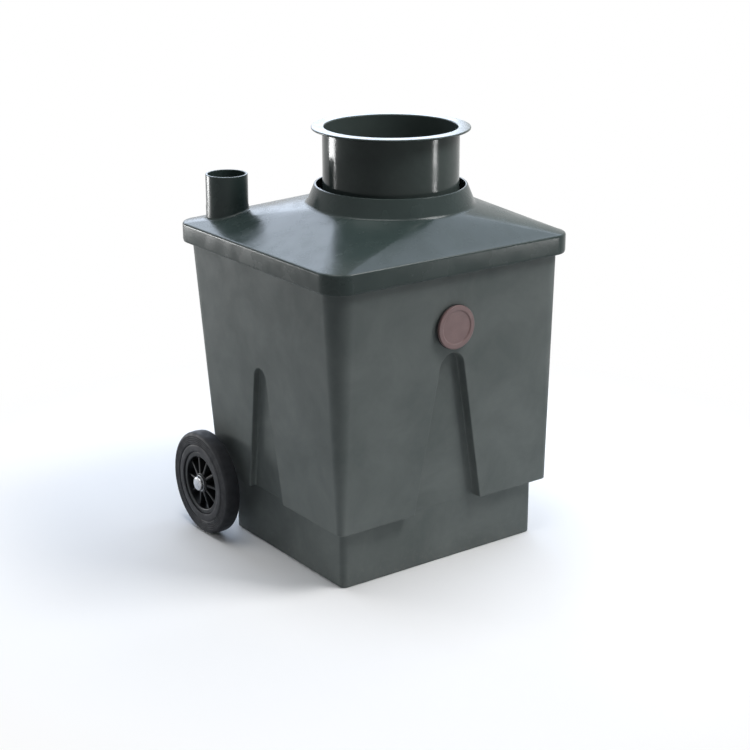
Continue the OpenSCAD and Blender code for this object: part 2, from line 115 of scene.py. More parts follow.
def ramp(tree, stops):
    """A colour ramp with the given (place, grey or colour) stops."""
    made = node(tree, "ValToRGB")
    elements = made.color_ramp.elements
    while len(elements) < len(stops):
        elements.new(0.5)
    for element, (place, tone) in zip(elements, stops):
        element.position = place
        element.color = (*tone, 1) if isinstance(tone, tuple) else (tone, tone, tone, 1)
    return made


def backdrop_rays(tree):
    """1 for the rays that should see the white backdrop: camera, glossy and transmission rays."""
    path = node(tree, "LightPath")
    either = node(tree, "Math", operation="ADD")
    any_of = node(tree, "Math", operation="ADD", use_clamp=True)
    join(tree, path, "Is Camera Ray", either, 0, path, "Is Glossy Ray", either, 1,
         either, "Value", any_of, 0, path, "Is Transmission Ray", any_of, 1)
    return any_of


world = bpy.data.worlds.new("studio")
world.use_nodes = True
bpy.context.scene.world = world
sky = world.node_tree
sky.nodes.clear()
direction = node(sky, "TexCoord")
split = node(sky, "SeparateXYZ")
remap = node(sky, "MapRange")
remap.inputs["From Min"].default_value = -1
join(sky, direction, "Generated", split, "Vector", split, "Z", remap, "Value")
HORIZON, LOW_SKY, HIGH_SKY = (0.30, 0.30, 0.30), (0.62, 0.68, 0.76), (0.9, 0.96, 1.05)
lit_tones = ramp(sky, [(0.50, HORIZON), (0.62, LOW_SKY), (1.0, HIGH_SKY)])
around = node(sky, "Background", Strength=0.15)
white = node(sky, "Background", Strength=1.0, Color=(1, 1, 1, 1))
backdrop = backdrop_rays(sky)
lit_or_white = node(sky, "MixShader")
output = node(sky, "OutputWorld")
join(sky, remap, "Result", lit_tones, "Fac", lit_tones, "Color", around, "Color",
     backdrop, "Value", lit_or_white, "Fac", lit_or_white, "Shader", output, "Surface")
sky.links.new(around.outputs[0], lit_or_white.inputs[1])
sky.links.new(white.outputs[0], lit_or_white.inputs[2])

# %% Floor
FLOOR_R = 30
GLOW_FROM, GLOW_TO = 0.55, 1.15
PAPER_FROM, PAPER_TO, PAPER_NEAR, PAPER_FAR = 0.85, 1.45, 0.86, 0.20

floor_mesh = bmesh.new()
bmesh.ops.create_circle(floor_mesh, cap_ends=True, segments=64, radius=FLOOR_R)
floor_data = bpy.data.meshes.new("floor")
floor_mesh.to_mesh(floor_data)
floor_mesh.free()
floor = bpy.data.objects.new("floor", floor_data)
bpy.context.scene.collection.objects.link(floor)

floor_finish, tree = new_material("pale_floor")
place = node(tree, "TexCoord")
reach = node(tree, "VectorMath", operation="LENGTH")
fade = node(tree, "MapRange", interpolation_type="SMOOTHSTEP")
fade.inputs["From Min"].default_value = GLOW_FROM
fade.inputs["From Max"].default_value = GLOW_TO
paper = node(tree, "MapRange", interpolation_type="SMOOTHSTEP")
paper.inputs["From Min"].default_value = PAPER_FROM
paper.inputs["From Max"].default_value = PAPER_TO
paper.inputs["To Min"].default_value = PAPER_NEAR
paper.inputs["To Max"].default_value = PAPER_FAR
matt = node(tree, "BsdfDiffuse")
glow = node(tree, "Emission", Color=(1, 1, 1, 1), Strength=1.0)
seen = backdrop_rays(tree)
both = node(tree, "Math", operation="MULTIPLY")
mix = node(tree, "MixShader")
out = node(tree, "OutputMaterial")
join(tree, place, "Object", reach, 0, reach, "Value", fade, "Value", fade, "Result", both, 0,
     reach, "Value", paper, "Value", paper, "Result", matt, "Color",
     seen, "Value", both, 1, both, "Value", mix, "Fac", mix, "Shader", out, "Surface")
tree.links.new(matt.outputs[0], mix.inputs[1])
tree.links.new(glow.outputs[0], mix.inputs[2])
floor.data.materials.append(floor_finish)
print("floor radius:", FLOOR_R, "m")

# %% Lamps
AIM = (0, 0, 0.35)
BLUISH, NEUTRAL = (0.82, 0.95, 1.16), (1.0, 1.0, 1.0)


def soft_lamp(name, at, width, height, watts, colour):
    """A rectangular area lamp that faces the middle of the object."""
    lamp = bpy.data.lights.new(name, "AREA")
    lamp.shape = "RECTANGLE"
    lamp.size, lamp.size_y = width, height
    lamp.energy, lamp.color = watts, colour
    made = bpy.data.objects.new(name, lamp)
    made.location = at
    made.rotation_euler = (Vector(at) - Vector(AIM)).to_track_quat("Z", "Y").to_euler()
    bpy.context.scene.collection.objects.link(made)


for name, at, width, height, watts, colour in (
        ("lamp_over", (-0.45, 0.05, 3.30), 2.0, 1.4, 45, NEUTRAL),
        ("lamp_right_high", (1.19, -1.42, 2.71), 1.2, 1.2, 62, NEUTRAL),
        ("lamp_right_top", (1.90, 0.33, 2.65), 1.6, 1.6, 22, BLUISH),
        ("lamp_back", (0.70, 2.55, 1.95), 3.0, 1.8, 58, BLUISH),
        ("lamp_left", (-1.42, 2.50, 0.30), 0.9, 0.40, 38, NEUTRAL),
        ("lamp_strip", (1.97, -2.30, 0.17), 0.36, 0.22, 12, NEUTRAL)):
    soft_lamp(name, at, width, height, watts, colour)

# %% [markdown]
# ## Tools for meshes
#
# Sizes are written in millimetres, as on a drawing, and each mesh is scaled to
# metres when it is done. A few short helpers cover nearly every piece: a rounded
# rectangle of edges, a shell bridged from several of them, a turned profile, and
# edges picked by their angle and rounded with a bevel.

# %% Helpers: rings and shells
MM = 0.001
DOUBLES, ON_AXIS, NEAR = 0.002, 0.001, 0.3
SHARP = radians(40)


def ring(bm, half_w, front, back, r, z, steps=16, cuts=0):
    """Edges of a rounded rectangle at height z, with cuts in its straight sides."""
    corners = bmesh.ops.create_grid(bm, x_segments=1, y_segments=1, size=1)["verts"]
    bmesh.ops.scale(bm, vec=(half_w, (front + back) / 2, 1), verts=corners)
    bmesh.ops.translate(bm, vec=(0, (back - front) / 2, z), verts=corners)
    made = bmesh.ops.bevel(bm, geom=corners, offset=r, offset_type="OFFSET", segments=steps,
                           profile=0.5, affect="VERTICES", material=-1, clamp_overlap=False)
    face = made["faces"][0] if made["faces"] else made["verts"][0].link_faces[0]
    if cuts:
        sides = sorted(face.edges, key=lambda e: e.calc_length())[-4:]
        bmesh.ops.subdivide_edges(bm, edges=sides, cuts=cuts)
    edges = list(face.edges)
    bmesh.ops.delete(bm, geom=[face], context="FACES_ONLY")
    return edges


def bridged(bm, loops):
    """Walls between rings that follow each other."""
    for lower, upper in zip(loops, loops[1:]):
        bmesh.ops.bridge_loops(bm, edges=lower + upper)


def closed(bm, loops):
    """Faces that close the given rings."""
    for edges in loops:
        bmesh.ops.contextual_create(bm, geom=edges)


def soften(bm, radius, pick, segments=3):
    """Rounds the edges that pick chooses."""
    edges = [e for e in bm.edges if len(e.link_faces) == 2 and pick(e)]
    bmesh.ops.bevel(bm, geom=edges, offset=radius, offset_type="OFFSET", segments=segments,
                    profile=0.5, affect="EDGES", material=-1, clamp_overlap=False)


def sharp(edge, limit=SHARP):
    """Whether two faces meet at the edge at more than the given angle."""
    return len(edge.link_faces) == 2 and edge.calc_face_angle(0) > limit


def level(edge, z):
    """Whether the edge lies at height z."""
    return all(abs(v.co.z - z) < NEAR for v in edge.verts)


# %% Helpers: objects and cuts
def as_object(bm, name):
    """A bmesh in millimetres becomes an object, with its faces pointing outwards."""
    bmesh.ops.remove_doubles(bm, verts=bm.verts, dist=DOUBLES)
    bmesh.ops.recalc_face_normals(bm, faces=bm.faces)
    data = bpy.data.meshes.new(name)
    bm.to_mesh(data)
    bm.free()
    made = bpy.data.objects.new(name, data)
    bpy.context.scene.collection.objects.link(made)
    return made


def applied(made):
    """Turns an object's modifiers into plain mesh."""
    bpy.context.view_layer.update()
    graph = bpy.context.evaluated_depsgraph_get()
    solid = bpy.data.meshes.new_from_object(made.evaluated_get(graph))
    made.modifiers.clear()
    old, made.data = made.data, solid
    bpy.data.meshes.remove(old)
    solid.name = made.name
    return made


def carve(made, cutter, operation="DIFFERENCE"):
    """Cuts one object out of another, or joins it, and removes the cutter."""
    step = made.modifiers.new("carve", "BOOLEAN")
    step.object, step.operation, step.solver = cutter, operation, "EXACT"
    applied(made)
    bpy.data.objects.remove(cutter)
    return made


def edited(made, change):
    """Opens an object's mesh as a bmesh, changes it and closes it again."""
    bm = bmesh.new()
    bm.from_mesh(made.data)
    change(bm)
    bm.to_mesh(made.data)
    bm.free()
    return made


def piece(made, body, slot, finish, *nodes, crease=38):
    """The last step of each new piece: metres, smooth shading, its finish and its body."""
    made.data.transform(Matrix.Scale(MM, 4))
    made.data.shade_smooth()
    made.data.set_sharp_from_angle(angle=radians(crease))
    even = made.modifiers.new("even_normals", "WEIGHTED_NORMAL")
    even.keep_sharp = True
    made.data.materials.clear()
    made.data.materials.append(finish)
    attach(made, body)
    if nodes:
        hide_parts(*nodes)
    print(f"{made.name}: {len(made.data.polygons)} faces")
    return made

# %% [markdown]
# A body of revolution starts as half of its cross-section. The corners that are
# round on the real piece are bevelled while the section is still flat, and the
# section is then spun about the axis. One list of corners is easier to read than a
# cylinder that has been cut and patched.

# %% Helper: turned pieces
def turned(name, outline, at, axis, rounds=None, steps=96):
    """Spins an outline of (radius, along) corners, some of them rounded, about an axis."""
    bm = bmesh.new()
    corners = [bm.verts.new((radius, 0, along)) for radius, along in outline]
    face = bm.faces.new(corners)
    for radius, chosen in (rounds or {}).items():
        bmesh.ops.bevel(bm, geom=[corners[i] for i in chosen], offset=radius, offset_type="OFFSET",
                        segments=4, profile=0.5, affect="VERTICES", material=-1, clamp_overlap=False)
        bm.faces.ensure_lookup_table()
    bmesh.ops.delete(bm, geom=list(bm.faces), context="FACES_ONLY")
    on_axis = [e for e in bm.edges if all(abs(v.co.x) < ON_AXIS for v in e.verts)]
    bmesh.ops.delete(bm, geom=on_axis, context="EDGES")
    bmesh.ops.spin(bm, geom=bm.verts[:] + bm.edges[:], cent=(0, 0, 0), axis=(0, 0, 1), dvec=(0, 0, 0),
                   angle=2 * pi, steps=steps, use_merge=True, use_duplicate=False)
    turn = Vector(axis).to_track_quat("Z", "Y").to_matrix().to_4x4()
    bmesh.ops.transform(bm, matrix=Matrix.Translation(at) @ turn, verts=bm.verts)
    return as_object(bm, name)


def from_cad(name, *nodes, radius=0.4):
    """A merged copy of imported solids, in millimetres, with its sharp edges rounded."""
    bm = bmesh.new()
    for each in nodes:
        bm.from_mesh(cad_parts[each].data)
    bmesh.ops.scale(bm, vec=(1 / MM, 1 / MM, 1 / MM), verts=bm.verts)
    bmesh.ops.remove_doubles(bm, verts=bm.verts, dist=DOUBLES)
    bmesh.ops.dissolve_limit(bm, angle_limit=radians(1), verts=bm.verts, edges=bm.edges)
    soften(bm, radius, lambda e: sharp(e, radians(50)), segments=2)
    return as_object(bm, name)


# %% [markdown]
# ## Finishes
#
# The moulded plastic has no paint. Its colour is almost even, with large, faint
# patches where it cooled against the mould, and a fine orange-peel skin that makes
# the highlights soft at their edges. Each finish below is built from noise on object
# coordinates: a wide one for the patches in colour and gloss, and a fine one for the
# bump. Metals get brushed or blasted grain in the same way.

# %% Finish: moulded plastic
MIX_A, MIX_B, MIXED = 6, 7, 2
WORN_GREY, WORN_HEIGHT = (0.20, 0.21, 0.20, 1), 0.06


def moulded(name, dark, light, gloss, patch=9.0, peel=420.0, peel_depth=0.00012, wear=0.0,
            specular=0.5):
    """Moulded plastic: gloss is (roughness of the glossy patches, of the dull ones)."""
    material, tree = new_material(name)
    place = node(tree, "TexCoord")
    centred = node(tree, "Mapping")
    patches = node(tree, "TexNoise", Scale=patch, Detail=6.0, Roughness=0.62, Distortion=0.4)
    tone = ramp(tree, [(0.32, dark), (0.72, light)])
    cloud = node(tree, "TexNoise", Scale=patch * 3.1, Detail=4.0, Roughness=0.5)
    dull = node(tree, "MapRange")
    dull.inputs["From Min"].default_value, dull.inputs["From Max"].default_value = 0.36, 0.64
    dull.inputs["To Min"].default_value, dull.inputs["To Max"].default_value = gloss
    skin = node(tree, "TexNoise", Scale=peel, Detail=3.0, Roughness=0.5)
    waves = node(tree, "TexNoise", Scale=26.0, Detail=2.0, Roughness=0.4)
    sag = node(tree, "Bump", Strength=0.20, Distance=0.0010)
    bump = node(tree, "Bump", Strength=0.5, Distance=peel_depth)
    surface = node(tree, "BsdfPrincipled")
    surface.inputs["Specular IOR Level"].default_value = specular
    out = node(tree, "OutputMaterial")
    join(tree, place, "Object", centred, "Vector", centred, "Vector", patches, "Vector",
         centred, "Vector", cloud, "Vector", centred, "Vector", skin, "Vector",
         centred, "Vector", waves, "Vector", patches, "Fac", tone, "Fac", cloud, "Fac", dull, "Value",
         dull, "Result", surface, "Roughness", waves, "Fac", sag, "Height", skin, "Fac", bump, "Height",
         sag, "Normal", bump, "Normal", bump, "Normal", surface, "Normal",
         surface, "BSDF", out, "Surface")
    if wear:
        low = node(tree, "SeparateXYZ")
        near_floor = node(tree, "MapRange")
        near_floor.inputs["From Min"].default_value = WORN_HEIGHT
        near_floor.inputs["From Max"].default_value = 0.0
        scuffs = node(tree, "TexNoise", Scale=90.0, Detail=8.0, Roughness=0.75)
        marks = ramp(tree, [(0.52, 0.0), (0.66, 1.0)])
        where = node(tree, "Math", operation="MULTIPLY")
        amount = node(tree, "Math", operation="MULTIPLY")
        amount.inputs[1].default_value = wear
        worn = node(tree, "Mix", data_type="RGBA")
        join(tree, place, "Object", low, "Vector", low, "Z", near_floor, "Value",
             centred, "Vector", scuffs, "Vector", scuffs, "Fac", marks, "Fac",
             near_floor, "Result", where, 0, marks, "Color", where, 1, where, "Value", amount, 0,
             amount, "Value", worn, "Factor")
        worn.inputs[MIX_B].default_value = WORN_GREY
        tree.links.new(tone.outputs["Color"], worn.inputs[MIX_A])
        tree.links.new(worn.outputs[MIXED], surface.inputs["Base Color"])
    else:
        join(tree, tone, "Color", surface, "Base Color")
    return material


tank_green = moulded("tank_green", (0.096, 0.110, 0.106), (0.134, 0.149, 0.144), (0.46, 0.60),
                     patch=9.0, wear=0.25, specular=0.09)
lid_green = moulded("lid_green", (0.026, 0.039, 0.037), (0.036, 0.052, 0.049), (0.20, 0.30),
                    patch=8.0, peel_depth=0.00008, specular=0.19)
neck_green = moulded("neck_green", (0.046, 0.059, 0.055), (0.060, 0.076, 0.071), (0.13, 0.20),
                     patch=10.0, peel_depth=0.00005, specular=0.12)
plug_rose = moulded("plug_rose", (0.128, 0.076, 0.075), (0.158, 0.096, 0.093), (0.42, 0.55), patch=60.0)
black_plastic = moulded("black_plastic", (0.012, 0.013, 0.013), (0.022, 0.023, 0.023), (0.34, 0.5),
                        patch=30.0)
rim_black = moulded("rim_black", (0.008, 0.009, 0.010), (0.014, 0.015, 0.017), (0.32, 0.45),
                    patch=40.0, specular=0.20)
bush_black = moulded("bush_black", (0.016, 0.016, 0.017), (0.026, 0.026, 0.027), (0.35, 0.5),
                     patch=60.0)
print("plastics:", [m.name for m in bpy.data.materials])

# %% Finish: rubber
def rubber(name, dark, light, dust):
    """Rubber: almost matt, with a faint even sheen for a trace of pale dust."""
    material = moulded(name, dark, light, (0.55, 0.74), patch=22.0, peel=900.0, peel_depth=0.00018,
                       specular=0.24)
    tree = material.node_tree
    surface = next(n for n in tree.nodes if n.type == "BSDF_PRINCIPLED")
    surface.inputs["Sheen Weight"].default_value = dust
    surface.inputs["Sheen Roughness"].default_value = 0.45
    surface.inputs["Sheen Tint"].default_value = (0.75, 0.80, 0.92, 1)
    return material


tyre_rubber = rubber("tyre_rubber", (0.009, 0.010, 0.012), (0.015, 0.016, 0.019), 0.06)
seal_rubber = rubber("seal_rubber", (0.010, 0.010, 0.010), (0.018, 0.018, 0.018), 0.04)

# %% Finish: metals
def metal(name, tone, bright, roughness, stretch=(1, 1, 1), grain=900.0):
    """Plated or turned metal. A stretch other than 1 draws the grain out along an axis."""
    material, tree = new_material(name)
    place = node(tree, "TexCoord")
    drawn = node(tree, "Mapping", Scale=stretch)
    grains = node(tree, "TexNoise", Scale=grain, Detail=4.0, Roughness=0.6)
    stains = node(tree, "TexNoise", Scale=70.0, Detail=5.0, Roughness=0.6)
    shade = ramp(tree, [(0.35, tone), (0.70, bright)])
    rough = node(tree, "MapRange")
    rough.inputs["To Min"].default_value, rough.inputs["To Max"].default_value = roughness
    bump = node(tree, "Bump", Strength=0.25, Distance=0.00005)
    surface = node(tree, "BsdfPrincipled", Metallic=1.0)
    out = node(tree, "OutputMaterial")
    join(tree, place, "Object", drawn, "Vector", drawn, "Vector", grains, "Vector",
         place, "Object", stains, "Vector", stains, "Fac", shade, "Fac",
         shade, "Color", surface, "Base Color",
         grains, "Fac", rough, "Value", rough, "Result", surface, "Roughness",
         grains, "Fac", bump, "Height", bump, "Normal", surface, "Normal", surface, "BSDF", out, "Surface")
    return material


axle_steel = metal("axle_steel", (0.46, 0.46, 0.47), (0.60, 0.60, 0.61), (0.22, 0.42), stretch=(0.03, 1, 1))
zinc_steel = metal("zinc_steel", (0.36, 0.37, 0.39), (0.50, 0.51, 0.52), (0.30, 0.50))
insert_brass = metal("insert_brass", (0.60, 0.42, 0.17), (0.74, 0.55, 0.26), (0.25, 0.42))
cap_chrome = metal("cap_chrome", (0.40, 0.41, 0.43), (0.50, 0.51, 0.53), (0.20, 0.34))
print("materials:", len(bpy.data.materials))

# %% [markdown]
# ## The tank
#
# The tank is one hollow moulding. It narrows downwards, steps in to a plinth, and
# has a tapering recess in each wall that stiffens it and lets tanks stack. It could
# be cut from a block, but a shell bridged from rounded rectangles keeps long, even
# quads, so the walls shade cleanly. The recesses are then cut with rounded bars,
# and one bevel rounds every outer edge that the cuts leave.

# %% Tank: driving sizes
TANK_H, WALL = 582.0, 4.5
LEDGE_Z, SHELF_Z = 112.2, 116.7
RIM = dict(half_w=257.0, front=248.0, back=248.0, r=42.0)
LEDGE = dict(half_w=240.0, front=236.0, back=183.0, r=12.0)
PLINTH = dict(half_w=221.0, front=215.5, back=145.0, r=12.0)
LIP, LIP_T = 5.5, 4.0
WALL_H = TANK_H - LEDGE_Z
FOOT_ROUND, LIP_ROUND, OUTER_ROUND, FLOOR_ROUND = 3.0, 1.2, 2.2, 5.0
MOUTH_ROUND, MOUTH_MIDDLE = 1.2, 0.35
CLEAR = 5


def inset(plan, step):
    """The same plan moved inwards by a step, or outwards if it is negative."""
    return dict(half_w=plan["half_w"] - step, front=plan["front"] - step, back=plan["back"] - step,
                r=plan["r"] - step)


# %% Tank: recess bars
FOOT_RUN, BAR_LENGTH, TOP_SHARE = 20.0, 90.0, 0.995
OUTER_FILLET, INNER_FILLET = 3.5, 8.0
# Half width at the foot, radius of the top, height, depth, wall, turn, and the middle along the wall
RECESSES = ((76, 27, 297, 19.5, "front", 0, 0), (56, 19, 250, 13, "half_w", pi / 2, 4),
            (56, 19, 250, 13, "half_w", -pi / 2, 4), (56, 19, 250, 12, "back", pi, 0))


def recess_bar(foot, r, height, depth, grow, fillet):
    """A bar with a recess's outline, from the recess's floor outwards along -Y.

    Its inner end is rounded. The plane y = 0 is its wall, and z = 0 is the ledge.
    """
    top, half, middle = r + grow, foot + grow, height - r
    lean = acos(top / hypot(half, middle)) - atan2(middle, half)
    low_half = half + FOOT_RUN * tan(lean)
    high_half = half - (middle + top) * tan(lean)
    start = depth + grow
    bm = bmesh.new()
    outline = ((-low_half, -FOOT_RUN), (low_half, -FOOT_RUN),
               (high_half, middle + top), (-high_half, middle + top))
    corners = [bm.verts.new((x, start, z)) for x, z in outline]
    bm.faces.new(corners)
    bmesh.ops.bevel(bm, geom=corners[2:], offset=high_half * TOP_SHARE, offset_type="OFFSET",
                    segments=12, profile=0.5, affect="VERTICES", material=-1, clamp_overlap=False)
    far = bmesh.ops.extrude_face_region(bm, geom=list(bm.faces), use_keep_orig=True)["geom"]
    far = [v for v in far if isinstance(v, bmesh.types.BMVert)]
    bmesh.ops.translate(bm, vec=(0, -BAR_LENGTH, 0), verts=far)
    bmesh.ops.recalc_face_normals(bm, faces=bm.faces)
    soften(bm, fillet, lambda e: all(abs(v.co.y - start) < 0.01 for v in e.verts), segments=4)
    return bm


def recess_bars(name, grow, fillet):
    """The four bars, each leaning with its wall: front, right, left and back."""
    together = bmesh.new()
    for foot, r, height, depth, side, turn, middle in RECESSES:
        bar = as_object(recess_bar(foot, r, height, depth, grow, fillet), "bar")
        lean = Matrix.Rotation(atan2(RIM[side] - LEDGE[side], WALL_H), 4, "X")
        at_wall = Matrix.Translation((0, -LEDGE[side], LEDGE_Z))
        round_tank = Matrix.Translation((0, middle, 0)) @ Matrix.Rotation(turn, 4, "Z")
        bar.data.transform(round_tank @ at_wall @ lean)
        together.from_mesh(bar.data)
        bpy.data.objects.remove(bar)
    return as_object(together, name)


# %% Tank: outside
bm = bmesh.new()
levels = [ring(bm, **PLINTH, z=0), ring(bm, **PLINTH, z=LEDGE_Z), ring(bm, **LEDGE, z=LEDGE_Z),
          ring(bm, **RIM, z=TANK_H - LIP_T), ring(bm, **inset(RIM, -LIP), z=TANK_H - LIP_T),
          ring(bm, **inset(RIM, -LIP), z=TANK_H)]
bridged(bm, levels)
closed(bm, [levels[0], levels[-1]])
soften(bm, FOOT_ROUND, lambda e: level(e, 0) and sharp(e))
soften(bm, LIP_ROUND, lambda e: level(e, TANK_H) and sharp(e))
tank = as_object(bm, "tank_shell")
carve(tank, recess_bars("recess_bars", 0, OUTER_FILLET))


STEP_Y, STEP_HALF, EDGES_FROM, EDGES_TO = -220, 90, 100, 570


def outer_edges(e):
    """Convex edges of the ledge and the recesses, but not the step at the front recess's foot."""
    middle = (e.verts[0].co + e.verts[1].co) / 2
    on_step = level(e, LEDGE_Z) and middle.y > STEP_Y and abs(middle.x) < STEP_HALF
    in_reach = EDGES_FROM < middle.z < EDGES_TO
    return sharp(e, radians(35)) and e.is_convex and in_reach and not on_step


edited(tank, lambda bm: soften(bm, OUTER_ROUND, outer_edges, segments=4))
print("tank outside:", len(tank.data.polygons), "faces")

# %% [markdown]
# The hollow is a second solid, made in the same way and cut out at the end. The
# recess bars, grown by the wall, are first cut out of it, so that the wall runs
# round each recess. The flat pad behind the plug and the bosses that hold the screw
# inserts are left standing in the same way.

# %% Tank: hollow
PLUG_Z, PAD_Y, PAD_BACK_Y = 459.0, 246.88, 238.34
SCREW_X, SCREW_SPREAD, SCREW_Z = 150.0, 14.0, 71.5
PAD_R, PAD_RUN, HOLE_R, HOLE_RUN = 40.0, 60, 35.0, 20
BOSS_R, BOSS_IN, BOSS_OUT = 10.0, 18, 5
INSERT_R, INSERT_IN, INSERT_OUT = 5.5, 13, 9


def rod(bm, radius, start, end, steps=48):
    """A closed rod between two points."""
    start, end = Vector(start), Vector(end)
    turn = (end - start).to_track_quat("Z", "Y").to_matrix().to_4x4()
    bmesh.ops.create_cone(bm, cap_ends=True, segments=steps, radius1=radius, radius2=radius,
                          depth=(end - start).length, matrix=Matrix.Translation((start + end) / 2) @ turn)


def at_screws(bm, radius, y_from, y_to):
    """Four rods on the lines of the clamp screws."""
    for side in (-1, 1):
        for step in (-SCREW_SPREAD, SCREW_SPREAD):
            x = side * SCREW_X + step
            rod(bm, radius, (x, y_from, SCREW_Z), (x, y_to, SCREW_Z))


bm = bmesh.new()
inside = inset(RIM, WALL)
levels = [ring(bm, **inset(PLINTH, WALL), z=WALL), ring(bm, **inset(PLINTH, WALL), z=SHELF_Z),
          ring(bm, **inset(LEDGE, WALL), z=SHELF_Z), ring(bm, **inside, z=TANK_H - MOUTH_ROUND),
          ring(bm, **inset(inside, -MOUTH_MIDDLE), z=TANK_H - MOUTH_MIDDLE),
          ring(bm, **inset(inside, -MOUTH_ROUND), z=TANK_H),
          ring(bm, **inset(inside, -MOUTH_ROUND), z=TANK_H + CLEAR)]
bridged(bm, levels)
closed(bm, [levels[0], levels[-1]])
soften(bm, FLOOR_ROUND, lambda e: level(e, WALL) and sharp(e))
hollow = as_object(bm, "hollow")
carve(hollow, recess_bars("inner_bars", WALL, INNER_FILLET))

bm = bmesh.new()
rod(bm, PAD_R, (0, -PAD_BACK_Y, PLUG_Z), (0, -PAD_BACK_Y - PAD_RUN, PLUG_Z), steps=96)
at_screws(bm, BOSS_R, PLINTH["back"] - BOSS_IN, PLINTH["back"] + BOSS_OUT)
carve(hollow, as_object(bm, "pad_and_bosses"))

bm = bmesh.new()
rod(bm, PAD_R, (0, -PAD_Y, PLUG_Z), (0, -PAD_BACK_Y - 1, PLUG_Z), steps=96)
carve(tank, as_object(bm, "plug_pad"), "UNION")
carve(tank, hollow)

bm = bmesh.new()
rod(bm, HOLE_R, (0, -PAD_Y - HOLE_RUN, PLUG_Z), (0, -PAD_BACK_Y + HOLE_RUN, PLUG_Z), steps=96)
at_screws(bm, INSERT_R, PLINTH["back"] - INSERT_IN, PLINTH["back"] + INSERT_OUT)
carve(tank, as_object(bm, "plug_hole"))
piece(tank, "container", "tank_plastic", tank_green, "tank")

# %% [markdown]
# ## The lid
#
# Roof, skirt, collar and vent stub are one moulding. The outside grows from one ring
# of edges: the skirt goes up, rolls over its edge, and the roof is that loop
# extruded and laid onto the circle at the collar's foot. The circle has as many
# points as the rounded rectangle, evenly spread, so the four flat panels keep some
# width at the collar and the corners between them stay narrow.

# %% Lid: driving sizes
SKIRT = dict(half_w=269.0, front=260.0, back=260.0, r=42.0)
SKIRT_Z, SEAT_Z, LID_EDGE_Z, EDGE_R = 556.0, 586.0, 593.0, 5.0
COLLAR_Z, COLLAR_TOP, COLLAR_FOOT_R, COLLAR_TOP_R, COLLAR_WALL = 640.0, 675.0, 155.0, 140.5, 4.0
THROAT_R, NECK = 128.0, Vector((25.0, -25.0, 0))
SEAT = dict(half_w=250.5, front=241.5, back=241.5, r=37.5)
SKIRT_LEAN, SKIRT_LEAN_H, EDGE_STEPS, ROOF_CUTS = 1.4, 5, 4, 7
FOOT_ROUND_R, COLLAR_ROUND, HEM_ROUND = 4.0, 1.3, 1.2
CORNER_STEPS, SIDE_CUTS = 16, 5


def lid_ring(bm, plan, z):
    """A ring with the point count that all of the lid's rings share."""
    return ring(bm, **plan, z=z, steps=CORNER_STEPS, cuts=SIDE_CUTS)


def onto_circle(bm, edges, radius, z):
    """Extrudes a loop and lays it onto a circle about the neck, evenly spread."""
    made = bmesh.ops.extrude_edge_only(bm, edges=edges)["geom"]
    points = [v for v in made if isinstance(v, bmesh.types.BMVert)]
    middle = sum((v.co for v in points), Vector()) / len(points)
    points.sort(key=lambda v: (atan2(v.co.y - middle.y, v.co.x - middle.x) + 0.001) % (2 * pi))
    for i, v in enumerate(points):
        turn = 2 * pi * i / len(points)
        v.co = NECK + Vector((radius * cos(turn), radius * sin(turn), z))
    return [e for e in made if isinstance(e, bmesh.types.BMEdge)]


# %% Lid: shell
bm = bmesh.new()
skirt = [lid_ring(bm, inset(SKIRT, SKIRT_LEAN), SKIRT_Z), lid_ring(bm, SKIRT, SKIRT_Z + SKIRT_LEAN_H)]
for step in range(EDGE_STEPS + 1):
    turn = step * pi / 2 / EDGE_STEPS
    rolled = inset(SKIRT, EDGE_R * (1 - cos(turn)))
    skirt.append(lid_ring(bm, rolled, LID_EDGE_Z - EDGE_R * (1 - sin(turn))))
bridged(bm, skirt)
collar = [onto_circle(bm, skirt[-1], COLLAR_FOOT_R, COLLAR_Z)]
slopes = [e for e in bm.edges if {round(v.co.z, 2) for v in e.verts} == {LID_EDGE_Z, COLLAR_Z}]
bmesh.ops.subdivide_edges(bm, edges=slopes, cuts=ROOF_CUTS, use_grid_fill=True)
for radius, z in ((COLLAR_TOP_R, COLLAR_TOP), (COLLAR_TOP_R - COLLAR_WALL, COLLAR_TOP),
                  (COLLAR_FOOT_R - COLLAR_WALL, COLLAR_Z), (THROAT_R, COLLAR_Z)):
    collar.append(onto_circle(bm, collar[-1], radius, z))

under = [lid_ring(bm, inset(SKIRT, WALL), SKIRT_Z), lid_ring(bm, inset(SKIRT, WALL), SEAT_Z),
         lid_ring(bm, SEAT, SEAT_Z)]
bridged(bm, [skirt[0]] + under)
roof_under = onto_circle(bm, under[-1], COLLAR_FOOT_R - WALL, COLLAR_Z - WALL)
throat = onto_circle(bm, roof_under, THROAT_R, COLLAR_Z - WALL)
bmesh.ops.bridge_loops(bm, edges=throat + collar[-1])
bmesh.ops.recalc_face_normals(bm, faces=bm.faces)


def circle_at(radius, z):
    """A test for the edges of one circle about the neck."""
    return lambda e: level(e, z) and all(
        abs(hypot(v.co.x - NECK.x, v.co.y - NECK.y) - radius) < NEAR for v in e.verts)


soften(bm, FOOT_ROUND_R, circle_at(COLLAR_FOOT_R, COLLAR_Z), segments=4)
soften(bm, COLLAR_ROUND, circle_at(COLLAR_TOP_R, COLLAR_TOP))
soften(bm, COLLAR_ROUND, circle_at(COLLAR_TOP_R - COLLAR_WALL, COLLAR_TOP))
soften(bm, HEM_ROUND, lambda e: level(e, SKIRT_Z) and sharp(e))
lid = as_object(bm, "lid_shell")
print("lid shell:", len(lid.data.polygons), "faces")

